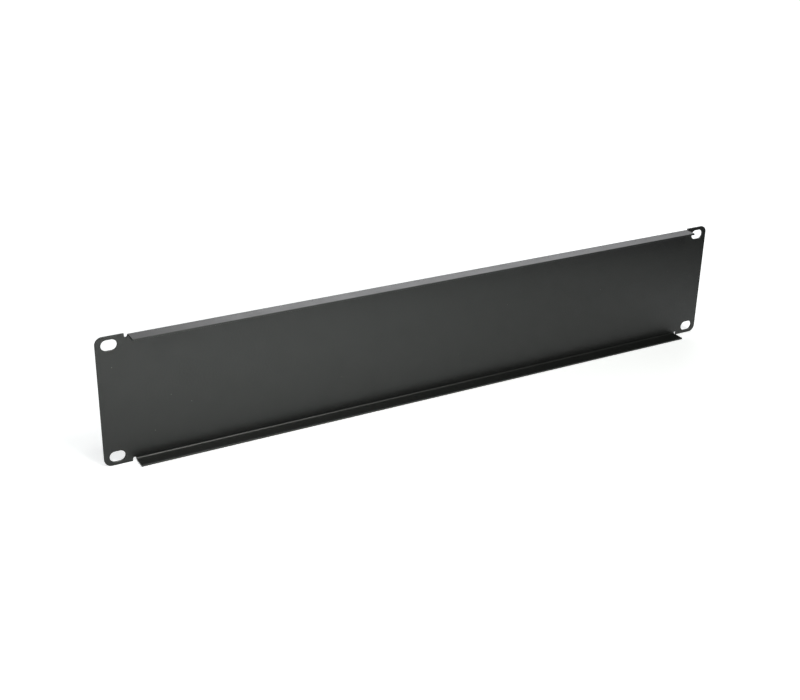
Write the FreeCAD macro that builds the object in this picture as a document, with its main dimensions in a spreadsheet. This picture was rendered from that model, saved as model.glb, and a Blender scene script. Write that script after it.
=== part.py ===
# Rack blanking panel, two rack units high, for a 19-inch rack.
# One steel sheet, punched and then folded rearwards along its top and bottom edges.
# Millimetres. X runs along the width and Z points up. The plane Y = 0 is the rear face
# of the sheet, which seats on the rack's rails, and the flanges reach rearwards to +Y.
# The origin is the centre of the pattern of the four screw slots.
import FreeCAD, Part
import os
import sys
import PartDesign
import Sketcher

SIZES = [
    ("panel_width", 482.6, "overall width, the 19-inch standard"),
    ("panel_height", 88.1, "height of the lugs, two rack units less the gap to the next panel"),
    ("sheet_thickness", 1.2, "steel sheet"),
    ("flange_depth", 11.4, "from the front face to the tips of the flanges"),
    ("flange_setback", 0.3, "outer face of a flange below the edge of the lugs"),
    ("bend_radius", 1.0, "inner radius of the folds"),
    ("lug_width", 18.5, "flat end of the panel, from its side edge to the relief notch"),
    ("relief_width", 2.1, "width of a relief notch at the end of a fold, and of its round bottom"),
    ("relief_overcut", 0.2, "how far the bottom of a notch reaches past the bend line"),
    ("corner_radius", 5.0, "outer corners of the lugs"),
    ("slot_length", 10.3, "screw slot, end to end"),
    ("slot_width", 7.1, "screw slot, across"),
    ("slot_from_end", 8.75, "centre of a slot from the side edge of the panel"),
    ("slot_from_edge", 5.95, "centre of a slot from the top or bottom edge of the lug"),
    ("slot_chamfer", 0.2, "deburred edge of a slot, on both faces"),
    ("edge_softening", 0.2, "rounding that the coating leaves on the sheet's cut edges"),
]

# Lines that several sketches share, written with the sizes above.
HALF_WIDTH = "sizes.panel_width / 2"
HALF_HEIGHT = "sizes.panel_height / 2"
BEND_LINE = HALF_HEIGHT + " - sizes.flange_setback - sizes.sheet_thickness - sizes.bend_radius"
RELIEF_MIDDLE = HALF_WIDTH + " - sizes.lug_width - sizes.relief_width / 2"
ABOVE_PANEL = HALF_HEIGHT + " + sizes.sheet_thickness"

# The numbers by which a sketch names the points of a line or an arc, and its own two axes.
START, END, CENTRE = range(1, 4)
LEVEL_AXIS, VERTICAL_AXIS = range(-1, -3, -1)
ORIGIN_POINT = (LEVEL_AXIS, START)

doc = FreeCAD.newDocument("rack_blanking_panel")

sheet = doc.addObject("Spreadsheet::Sheet", "sizes")
sheet.Label = "sizes"
for row, (alias, value, meaning) in enumerate(SIZES, start=1):
    sheet.set("A%d" % row, meaning)
    sheet.set("B%d" % row, str(value))
    sheet.setAlias("B%d" % row, alias)
doc.recompute()

size = {alias: float(sheet.get(alias)) for alias, value, meaning in SIZES}
half_width = size["panel_width"] / 2
half_height = size["panel_height"] / 2
bend_line = half_height - size["flange_setback"] - size["sheet_thickness"] - size["bend_radius"]
relief_middle = half_width - size["lug_width"] - size["relief_width"] / 2

panel = doc.addObject("PartDesign::Body", "blanking_panel")
panel.Label = "blanking_panel"


def origin_plane(role):
    """One of the three planes through the body's own origin."""
    return next(part for part in panel.Origin.OriginFeatures if part.Role == role)


def new_sketch(name, role):
    """An empty sketch on an origin plane of the panel."""
    sketch = panel.newObject("Sketcher::SketchObject", name)
    sketch.AttachmentSupport = [(origin_plane(role), "")]
    sketch.MapMode = "FlatFace"
    return sketch


def point(x, y):
    """A point in a sketch's own plane."""
    return FreeCAD.Vector(x, y, 0)


def segment(sketch, start, end):
    """A straight line in a sketch."""
    return sketch.addGeometry(Part.LineSegment(point(*start), point(*end)), False)


def arc(sketch, centre, radius, first_degrees, last_degrees):
    """A round arc in a sketch, counter-clockwise from its first angle to its last."""
    circle = Part.Circle(point(*centre), FreeCAD.Vector(0, 0, 1), radius)
    first = FreeCAD.Units.Quantity(first_degrees, "deg").getValueAs("rad").Value
    last = FreeCAD.Units.Quantity(last_degrees, "deg").getValueAs("rad").Value
    return sketch.addGeometry(Part.ArcOfCircle(circle, first, last), False)


def constrain(sketch, kind, *items):
    """A constraint without a size, such as Vertical or Tangent."""
    sketch.addConstraint(Sketcher.Constraint(kind, *items))


def dimension(sketch, name, kind, items, start_value, formula):
    """A constraint whose size follows a formula of the spreadsheet's cells."""
    index = sketch.addConstraint(Sketcher.Constraint(kind, *items, start_value))
    sketch.renameConstraint(index, name)
    sketch.setExpression("Constraints." + name, formula)


def place(sketch, name, vertex, x, x_formula, y, y_formula):
    """Both distances of a sketch point from the origin, whichever side of it the point lies."""
    across = ORIGIN_POINT + vertex if x > 0 else vertex + ORIGIN_POINT
    dimension(sketch, name + "_across", "DistanceX", across, abs(x), x_formula)
    dimension(sketch, name + "_up", "DistanceY", ORIGIN_POINT + vertex, y, y_formula)


def cut_through(name, sketch, length):
    """A cut square to the face of the panel, half its length to each side of the rear face."""
    pocket = panel.newObject("PartDesign::Pocket", name)
    pocket.Profile = sketch
    pocket.SideType = "Symmetric"
    pocket.Type = "Length"
    pocket.setExpression("Length", length)
    return pocket


# Face sheet: the flat front of the panel with its lugs, as a plain rectangle.
def draw_face_outline():
    sketch = new_sketch("face_outline", "XZ_Plane")
    corners = [(-half_width, -half_height), (half_width, -half_height),
               (half_width, half_height), (-half_width, half_height)]
    sides = [segment(sketch, corners[i], corners[(i + 1) % 4]) for i in range(4)]
    for i in range(4):
        constrain(sketch, "Coincident", sides[i], END, sides[(i + 1) % 4], START)
    for level, upright in ((sides[0], sides[1]), (sides[2], sides[3])):
        constrain(sketch, "Horizontal", level)
        constrain(sketch, "Vertical", upright)
    constrain(sketch, "Symmetric", sides[0], START, sides[1], END, *ORIGIN_POINT)
    dimension(sketch, "width", "DistanceX", (sides[0], START, sides[0], END),
              size["panel_width"], "sizes.panel_width")
    dimension(sketch, "height", "DistanceY", (sides[1], START, sides[1], END),
              size["panel_height"], "sizes.panel_height")
    return sketch


face_sheet = panel.newObject("PartDesign::Pad", "face_sheet")
face_sheet.Profile = draw_face_outline()
face_sheet.setExpression("Length", "sizes.sheet_thickness")


# Fold clearance: the flat sheet ends at the bend line between the middles of the two reliefs.
def draw_fold_clearance():
    sketch = new_sketch("fold_clearance", "XZ_Plane")
    top = half_height + size["sheet_thickness"]
    corners = [(-relief_middle, bend_line), (relief_middle, bend_line),
               (relief_middle, top), (-relief_middle, top)]
    sides = [segment(sketch, corners[i], corners[(i + 1) % 4]) for i in range(4)]
    for i in range(4):
        constrain(sketch, "Coincident", sides[i], END, sides[(i + 1) % 4], START)
    constrain(sketch, "Horizontal", sides[2])
    constrain(sketch, "Vertical", sides[1])
    constrain(sketch, "Vertical", sides[3])
    constrain(sketch, "Symmetric", sides[0], START, sides[0], END, VERTICAL_AXIS)
    place(sketch, "bend_line_end", (sides[0], END), relief_middle, RELIEF_MIDDLE,
          bend_line, BEND_LINE)
    dimension(sketch, "top", "DistanceY", ORIGIN_POINT + (sides[2], START), top, ABOVE_PANEL)
    return sketch


fold_clearance_cut = cut_through("fold_clearance_cut", draw_fold_clearance(),
                                 "4 * sizes.sheet_thickness")


# Top flange: the sheet's own thickness carried round the bend and out to the rear. It runs to
# the middles of the reliefs, which cut it to length.
def draw_fold_section():
    sketch = new_sketch("fold_section", "YZ_Plane")
    inner = size["bend_radius"]
    outer = inner + size["sheet_thickness"]
    tip = size["flange_depth"] - size["sheet_thickness"]
    centre = (inner, bend_line)
    inner_bend = arc(sketch, centre, inner, 90, 180)
    outer_bend = arc(sketch, centre, outer, 90, 180)
    root = segment(sketch, (0, bend_line), (inner - outer, bend_line))
    top_face = segment(sketch, (inner, bend_line + outer), (tip, bend_line + outer))
    tip_face = segment(sketch, (tip, bend_line + outer), (tip, bend_line + inner))
    under_face = segment(sketch, (tip, bend_line + inner), (inner, bend_line + inner))
    constrain(sketch, "Coincident", inner_bend, CENTRE, outer_bend, CENTRE)
    constrain(sketch, "Coincident", inner_bend, END, root, START)
    constrain(sketch, "Coincident", root, END, outer_bend, END)
    constrain(sketch, "Tangent", outer_bend, START, top_face, START)
    constrain(sketch, "Coincident", top_face, END, tip_face, START)
    constrain(sketch, "Coincident", tip_face, END, under_face, START)
    constrain(sketch, "Tangent", under_face, END, inner_bend, START)
    constrain(sketch, "Horizontal", root)
    constrain(sketch, "Horizontal", top_face)
    constrain(sketch, "Horizontal", under_face)
    constrain(sketch, "Vertical", tip_face)
    place(sketch, "bend_centre", (inner_bend, CENTRE), inner, "sizes.bend_radius",
          bend_line, BEND_LINE)
    dimension(sketch, "root_height", "DistanceY", ORIGIN_POINT + (root, START), bend_line, BEND_LINE)
    dimension(sketch, "inner_radius", "Radius", (inner_bend,), inner, "sizes.bend_radius")
    dimension(sketch, "outer_radius", "Radius", (outer_bend,), outer,
              "sizes.bend_radius + sizes.sheet_thickness")
    dimension(sketch, "reach", "DistanceX", ORIGIN_POINT + (tip_face, START), tip,
              "sizes.flange_depth - sizes.sheet_thickness")
    return sketch


top_flange = panel.newObject("PartDesign::Pad", "top_flange")
top_flange.Profile = draw_fold_section()
top_flange.SideType = "Symmetric"
top_flange.setExpression("Length", "2 * (" + RELIEF_MIDDLE + ")")


# Relief notches: a U at each end of the fold, so that the sheet doesn't tear there. Its round
# bottom just clears the bend line, and its inner wall is the end of the flange.
def draw_reliefs():
    sketch = new_sketch("reliefs", "XZ_Plane")
    radius = size["relief_width"] / 2
    round_height = bend_line - size["relief_overcut"] + radius
    top = half_height + size["sheet_thickness"]
    for side, name in ((1, "right"), (-1, "left")):
        middle = side * relief_middle
        east, west = middle + radius, middle - radius
        bottom = arc(sketch, (middle, round_height), radius, 180, 360)
        east_wall = segment(sketch, (east, round_height), (east, top))
        lid = segment(sketch, (east, top), (west, top))
        west_wall = segment(sketch, (west, top), (west, round_height))
        constrain(sketch, "Tangent", bottom, END, east_wall, START)
        constrain(sketch, "Coincident", east_wall, END, lid, START)
        constrain(sketch, "Coincident", lid, END, west_wall, START)
        constrain(sketch, "Tangent", west_wall, END, bottom, START)
        constrain(sketch, "Vertical", east_wall)
        constrain(sketch, "Vertical", west_wall)
        constrain(sketch, "Horizontal", lid)
        place(sketch, name + "_round", (bottom, CENTRE), middle, RELIEF_MIDDLE,
              round_height, BEND_LINE + " - sizes.relief_overcut + sizes.relief_width / 2")
        dimension(sketch, name + "_radius", "Radius", (bottom,), radius, "sizes.relief_width / 2")
        dimension(sketch, name + "_top", "DistanceY", ORIGIN_POINT + (lid, START), top, ABOVE_PANEL)
    return sketch


relief_cut = cut_through("relief_cut", draw_reliefs(), "2 * sizes.flange_depth")


# Screw slots: one in each lug corner, long across the panel, which lets the screws find
# the rails' holes.
def draw_slots():
    sketch = new_sketch("slots", "XZ_Plane")
    radius = size["slot_width"] / 2
    half_run = (size["slot_length"] - size["slot_width"]) / 2
    x_middle = half_width - size["slot_from_end"]
    z_middle = half_height - size["slot_from_edge"]
    for side, name in ((1, "right"), (-1, "left")):
        x = side * x_middle
        east = arc(sketch, (x + half_run, z_middle), radius, -90, 90)
        top = segment(sketch, (x + half_run, z_middle + radius), (x - half_run, z_middle + radius))
        west = arc(sketch, (x - half_run, z_middle), radius, 90, 270)
        base = segment(sketch, (x - half_run, z_middle - radius), (x + half_run, z_middle - radius))
        constrain(sketch, "Tangent", east, END, top, START)
        constrain(sketch, "Tangent", top, END, west, START)
        constrain(sketch, "Tangent", west, END, base, START)
        constrain(sketch, "Tangent", base, END, east, START)
        constrain(sketch, "Horizontal", top)
        constrain(sketch, "Horizontal", base)
        dimension(sketch, name + "_radius", "Radius", (east,), radius, "sizes.slot_width / 2")
        dimension(sketch, name + "_run", "DistanceX", (west, CENTRE, east, CENTRE), 2 * half_run,
                  "sizes.slot_length - sizes.slot_width")
        outer = east if side > 0 else west
        place(sketch, name + "_outer_round", (outer, CENTRE), x + side * half_run,
              HALF_WIDTH + " - sizes.slot_from_end + (sizes.slot_length - sizes.slot_width) / 2",
              z_middle, HALF_HEIGHT + " - sizes.slot_from_edge")
    return sketch


slot_cut = cut_through("slot_cut", draw_slots(), "4 * sizes.sheet_thickness")

# Bottom edge: the same cuts and the same fold, mirrored.
bottom_edge = panel.newObject("PartDesign::Mirrored", "bottom_edge")
bottom_edge.Originals = [fold_clearance_cut, top_flange, relief_cut, slot_cut]
bottom_edge.MirrorPlane = (origin_plane("XY_Plane"), [""])
panel.Tip = bottom_edge
doc.recompute()


# Finish of the cut edges: rounded lug corners, deburred slots, and the soft edge that the
# coating leaves all round. An edge counts as being at a place when it is this near to it.
NEAR = 0.01


def edge_names(shape, wanted):
    """Names of the edges of a shape that a test accepts."""
    return ["Edge%d" % (i + 1) for i, edge in enumerate(shape.Edges) if wanted(shape, edge)]


def is_lug_corner(shape, edge):
    """The four short edges through the sheet at the panel's outer corners."""
    middle = edge.CenterOfMass
    return abs(abs(middle.x) - half_width) < NEAR and abs(abs(middle.z) - half_height) < NEAR


def is_sharp(shape, edge):
    """An edge where two faces meet at a square corner, and not smoothly or at a chamfer."""
    middle = edge.valueAt((edge.FirstParameter + edge.LastParameter) / 2)
    normals = []
    for face in shape.ancestorsOfType(edge, Part.Face):
        normals.append(face.normalAt(*face.Surface.parameter(middle)))
    return len(normals) == 2 and normals[0].dot(normals[1]) < 0.5


def is_slot_rim(shape, edge):
    """A sharp edge round one of the four slots."""
    middle = edge.CenterOfMass
    across = abs(abs(middle.x) - half_width + size["slot_from_end"])
    up = abs(abs(middle.z) - half_height + size["slot_from_edge"])
    inside = across <= size["slot_length"] / 2 and up <= size["slot_width"] / 2 + NEAR
    return inside and is_sharp(shape, edge)


def dress_edges(kind, name, base, wanted, property_name, formula):
    """A fillet or a chamfer on the edges of the last feature that a test accepts."""
    feature = panel.newObject("PartDesign::" + kind, name)
    feature.Base = (base, edge_names(base.Shape, wanted))
    feature.setExpression(property_name, formula)
    panel.Tip = feature
    doc.recompute()
    return feature


lug_corners = dress_edges("Fillet", "lug_corners", bottom_edge, is_lug_corner,
                          "Radius", "sizes.corner_radius")
slot_rims = dress_edges("Chamfer", "slot_rims", lug_corners, is_slot_rim,
                        "Size", "sizes.slot_chamfer")
soft_edges = dress_edges("Fillet", "soft_edges", slot_rims, is_sharp,
                         "Radius", "sizes.edge_softening")

problems = [item.Name for item in doc.Objects
            if {"Invalid", "Error"} & set(item.State)]
if panel.Shape.isNull() or not panel.Shape.isValid() or len(panel.Shape.Solids) != 1:
    problems.append("shape of " + panel.Label)
if problems:
    sys.exit("not built: " + ", ".join(problems))

os.makedirs("parts", exist_ok=True)
panel.Shape.exportStep("parts/%s.step" % panel.Label)
box = panel.Shape.optimalBoundingBox()
print("%s: volume %.1f mm3, X %.2f..%.2f, Y %.2f..%.2f, Z %.2f..%.2f" % (
    panel.Label, panel.Shape.Volume, box.XMin, box.XMax, box.YMin, box.YMax, box.ZMin, box.ZMax))
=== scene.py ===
"""A two-unit blanking panel of folded sheet steel, powder coated black, on plain white paper."""

import math

import bmesh
import bpy
import mathutils
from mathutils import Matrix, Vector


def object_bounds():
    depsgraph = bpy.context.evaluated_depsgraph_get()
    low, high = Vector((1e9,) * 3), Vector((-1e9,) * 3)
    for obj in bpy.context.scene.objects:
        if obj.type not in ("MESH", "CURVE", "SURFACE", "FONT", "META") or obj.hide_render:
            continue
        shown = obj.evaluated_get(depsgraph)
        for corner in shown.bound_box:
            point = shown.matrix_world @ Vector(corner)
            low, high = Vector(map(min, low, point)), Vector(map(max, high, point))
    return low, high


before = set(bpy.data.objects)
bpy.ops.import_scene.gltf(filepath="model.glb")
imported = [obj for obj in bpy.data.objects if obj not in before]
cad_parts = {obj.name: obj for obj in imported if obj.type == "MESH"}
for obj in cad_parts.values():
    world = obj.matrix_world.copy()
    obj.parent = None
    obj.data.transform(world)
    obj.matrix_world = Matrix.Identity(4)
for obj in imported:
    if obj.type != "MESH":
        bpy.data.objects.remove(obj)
cad_low, cad_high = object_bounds()
bpy.context.scene.view_settings.view_transform = "Standard"


# The camera looks at the panel's rear, the side that the flanges reach to, from above and from its
# left end. It stands about 0.9 m off with a 57 mm lens, and leans to one side by a degree.
EYE = (0.4293, 0.6925, 0.3522)
AZIMUTH = 150.51
ELEVATION = 24.15
ROLL = -1.131
LENS_MM = 57.05
SENSOR_MM = 36

camera = bpy.data.objects.new("camera", bpy.data.cameras.new("camera"))
bpy.context.scene.collection.objects.link(camera)
bpy.context.scene.camera = camera
camera.location = EYE
camera.rotation_euler = [math.radians(turn) for turn in (90 - ELEVATION, ROLL, AZIMUTH)]
camera.data.lens = LENS_MM
camera.data.sensor_width = SENSOR_MM


# The blanking panel is one sheet of mild steel, cut, punched and folded on a press brake, then
# sprayed with black polyester powder and baked. The powder flows as it melts, so the coat is one
# even satin skin over faces, folds and cut edges, a little rippled, with a few specks of dust on it.
COAT_BLACK = "#191B1A"
COAT_ROUGHNESS = 0.38
ROUGHNESS_SPREAD = 0.03
COAT_IOR = 1.6
RIPPLE_MM = 1.5
RIPPLE_HEIGHT_MM = 0.08
FLOW_MM = 14
FLOW_LOW = 0.3
FLOW_HIGH = 0.7
DUST_GREY = "#6E6E6A"
DUST_SPACING_MM = 12
DUST_SPECK_MM = 0.4


def srgb(code):
    """A hex colour, such as #191B1A, as the linear red, green, blue and alpha that Blender reads."""
    channels = [int(code[i:i + 2], 16) / 255 for i in (1, 3, 5)]
    linear = [c / 12.92 if c <= 0.04045 else ((c + 0.055) / 1.055) ** 2.4 for c in channels]
    return (*linear, 1)


def add_node(tree, kind, sockets=None, **settings):
    """Adds a shader node. A socket is given a value, or another node's output to be linked to."""
    node = tree.nodes.new("ShaderNode" + kind)
    for name, value in settings.items():
        setattr(node, name, value)
    for name, value in (sockets or {}).items():
        if isinstance(value, bpy.types.NodeSocket):
            tree.links.new(value, node.inputs[name])
        else:
            node.inputs[name].default_value = value
    return node


def empty_material(name):
    """A node material with nothing in it."""
    material = bpy.data.materials.new(name)
    material.use_nodes = True
    material.node_tree.nodes.clear()
    return material


def per_metre(pattern_mm):
    """The scale of a pattern whose features are so many millimetres across."""
    return 1000 / pattern_mm


# Baked polyester powder: near black, with the broad, soft sheen of a satin film. The real ripple is
# too low and the real dust too fine to show from here, so both are drawn coarser than they are.
powder_coat = empty_material("black_powder_coat")
tree = powder_coat.node_tree
place = add_node(tree, "TexCoord").outputs["Object"]
ripple = add_node(tree, "TexNoise", {"Vector": place, "Scale": per_metre(RIPPLE_MM), "Detail": 2})
flow = add_node(tree, "TexNoise", {"Vector": place, "Scale": per_metre(FLOW_MM), "Detail": 3})
skin = add_node(tree, "Bump", {"Height": ripple.outputs["Fac"], "Distance": RIPPLE_HEIGHT_MM / 1000})
gloss = add_node(tree, "MapRange", {
    "Value": flow.outputs["Fac"], "From Min": FLOW_LOW, "From Max": FLOW_HIGH,
    "To Min": COAT_ROUGHNESS - ROUGHNESS_SPREAD, "To Max": COAT_ROUGHNESS + ROUGHNESS_SPREAD,
})
specks = add_node(tree, "TexVoronoi", {"Vector": place, "Scale": per_metre(DUST_SPACING_MM)})
dust = add_node(tree, "MapRange", {
    "Value": specks.outputs["Distance"], "From Min": DUST_SPECK_MM / DUST_SPACING_MM, "From Max": 0,
})
colour = add_node(tree, "MixRGB", {
    "Fac": dust.outputs["Result"], "Color1": srgb(COAT_BLACK), "Color2": srgb(DUST_GREY),
})
coat = add_node(tree, "BsdfPrincipled", {
    "Base Color": colour.outputs["Color"], "Roughness": gloss.outputs["Result"],
    "IOR": COAT_IOR, "Normal": skin.outputs["Normal"],
})
add_node(tree, "OutputMaterial", {"Surface": coat.outputs["BSDF"]})

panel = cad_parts["blanking_panel"]
panel.data.materials.clear()
panel.data.materials.append(powder_coat)


# The floor is one wide sheet of white paper that the panel stands on, on the lower edges of its
# lugs. It throws light on to the panel from a broad band alone: outside the band, every ray but the
# eye's finds the paper painted dark grey, as painted shade where the lamps' light falls off. The eye
# sees it white all round, also far off, where the lamps don't reach, with a soft shadow.
FLOOR_RADIUS = 6
FLOOR_SIDES = 96
FLOOR_WHITE = "#E2E6E7"
# Painted shade: the paper's colour outside the band, for every ray but the eye's.
FLOOR_UNLIT = "#404040"
ACROSS_BAND = (-0.80, 0.60, 0)
BAND_MIDDLE = 0.045
BAND_FADES_FROM = 0.185
BAND_ENDS_AT = 0.415
LIFT_BY_PANEL = 0.58
LIFT_FAR_OFF = 0.95
LIFT_GROWS_FROM = 0.2
LIFT_FULL_AT = 0.8
MIRRORED_LIFT = 0.235

floor_mesh = bpy.data.meshes.new("floor")
outline = bmesh.new()
bmesh.ops.create_circle(outline, cap_ends=True, segments=FLOOR_SIDES, radius=FLOOR_RADIUS)
bmesh.ops.translate(outline, verts=outline.verts, vec=(0, 0, cad_low.z))
outline.to_mesh(floor_mesh)
outline.free()
floor = bpy.data.objects.new("floor", floor_mesh)
bpy.context.scene.collection.objects.link(floor)

# Uncoated white paper: matt, so that it spreads the lamps' light and has no shine of its own. On top
# of that light, the eye is shown the white that a bright studio gives it, and the sheen a part of it.
white_sheet = empty_material("white_paper_sheet")
tree = white_sheet.node_tree
place = add_node(tree, "TexCoord").outputs["Object"]
across = add_node(tree, "VectorMath", {0: place, 1: ACROSS_BAND}, operation="DOT_PRODUCT")
aside = add_node(tree, "Math", {0: across.outputs["Value"], 1: BAND_MIDDLE}, operation="SUBTRACT")
from_middle = add_node(tree, "Math", {0: aside.outputs[0]}, operation="ABSOLUTE")
# Painted shade: outside the band, the paper turns dark grey for every ray but the eye's.
painted_bounce_band = add_node(tree, "MapRange", {
    "Value": from_middle.outputs[0], "From Min": BAND_FADES_FROM, "From Max": BAND_ENDS_AT,
    "To Min": 1, "To Max": 0,
}, interpolation_type="SMOOTHSTEP")
seen = add_node(tree, "LightPath").outputs
eye = seen["Is Camera Ray"]
shown = add_node(tree, "Math", {0: painted_bounce_band.outputs["Result"], 1: eye}, operation="MAXIMUM")
colour = add_node(tree, "MixRGB", {
    "Fac": shown.outputs[0], "Color1": srgb(FLOOR_UNLIT), "Color2": srgb(FLOOR_WHITE),
})
paper = add_node(tree, "BsdfDiffuse", {"Color": colour.outputs["Color"]})
distance = add_node(tree, "VectorMath", {0: place}, operation="LENGTH").outputs["Value"]
lift = add_node(tree, "MapRange", {
    "Value": distance, "From Min": LIFT_GROWS_FROM, "From Max": LIFT_FULL_AT,
    "To Min": LIFT_BY_PANEL, "To Max": LIFT_FAR_OFF,
})
to_eye = add_node(tree, "Math", {0: lift.outputs["Result"], 1: eye}, operation="MULTIPLY")
mirrored = add_node(tree, "Math", {0: seen["Is Glossy Ray"], 1: seen["Is Transmission Ray"]})
from_paper = add_node(tree, "Math", {
    0: mirrored.outputs[0], 1: painted_bounce_band.outputs["Result"],
}, operation="MULTIPLY")
glow = add_node(tree, "Math", {
    0: from_paper.outputs[0], 1: MIRRORED_LIFT, 2: to_eye.outputs[0],
}, operation="MULTIPLY_ADD")
shine = add_node(tree, "Emission", {"Strength": glow.outputs[0]})
sheet = add_node(tree, "AddShader", {0: paper.outputs[0], 1: shine.outputs[0]})
add_node(tree, "OutputMaterial", {"Surface": sheet.outputs[0]})
floor.data.materials.append(white_sheet)


# The studio is a dark room. As the camera sees it, a white backdrop stands behind the panel, one
# soft lamp high in front, one in front that points straight down at the paper, and two behind that
# draw the sheen along the top flange. The eye sees the whole room as white.
PANEL_MIDDLE = (0, 0, 0)
BACKDROP_TOWARDS = (0, -0.87, 0.5)
BACKDROP_ENDS_AT = 0.5
BACKDROP_WHITE = 0.86
ROOM_WHITE = "#FFFFFF"
LAMP_WARM = "#FFFFF9"
LAMP_COOL = "#FAFBFF"


def soft_lamp(name, colour, at, towards, size, radiance, spread=180):
    """A soft lamp at one place, turned to another. How bright it looks is the same at any size."""
    lamp = bpy.data.objects.new(name, bpy.data.lights.new(name, "AREA"))
    bpy.context.scene.collection.objects.link(lamp)
    lamp.data.shape = "RECTANGLE"
    lamp.data.size, lamp.data.size_y = size
    lamp.data.energy = radiance * math.pi * size[0] * size[1]
    lamp.data.spread = math.radians(spread)
    lamp.data.color = srgb(colour)[:3]
    lamp.location = at
    gaze = [b - a for a, b in zip(at, towards)]
    lamp.rotation_euler = mathutils.Vector(gaze).to_track_quat("-Z", "Y").to_euler()
    lamp.visible_camera = False


soft_lamp(
    "lamp_in_front", LAMP_WARM, at=(-0.2, 0.8, 1.1), towards=PANEL_MIDDLE,
    size=(0.5, 0.5), radiance=12.6,
)
soft_lamp(
    "lamp_over_paper", LAMP_WARM, at=(0.15, 0.28, 0.6), towards=(0.15, 0.28, 0),
    size=(0.3, 0.3), radiance=2.3, spread=60,
)
soft_lamp(
    "lamp_behind", LAMP_COOL, at=(-0.58, -1.2, 0.9), towards=PANEL_MIDDLE,
    size=(0.56, 0.4), radiance=4.6,
)
soft_lamp(
    "lamp_behind_right", LAMP_COOL, at=(-0.9, -0.8, 0.7), towards=PANEL_MIDDLE,
    size=(0.5, 0.4), radiance=2.9,
)

world = bpy.data.worlds.new("studio")
bpy.context.scene.world = world
world.use_nodes = True
tree = world.node_tree
tree.nodes.clear()
gaze = add_node(tree, "TexCoord").outputs["Generated"]
near_backdrop = add_node(tree, "VectorMath", {0: gaze, 1: BACKDROP_TOWARDS}, operation="DOT_PRODUCT")
backdrop = add_node(tree, "MapRange", {
    "Value": near_backdrop.outputs["Value"], "From Min": BACKDROP_ENDS_AT, "From Max": 1,
    "To Min": 0, "To Max": BACKDROP_WHITE,
}, interpolation_type="SMOOTHSTEP")
seen = add_node(tree, "LightPath").outputs
white = add_node(tree, "Math", {
    0: backdrop.outputs["Result"], 1: seen["Is Camera Ray"],
}, operation="MAXIMUM")
room = add_node(tree, "Background", {"Color": srgb(ROOM_WHITE), "Strength": white.outputs[0]})
add_node(tree, "OutputWorld", {"Surface": room.outputs[0]})
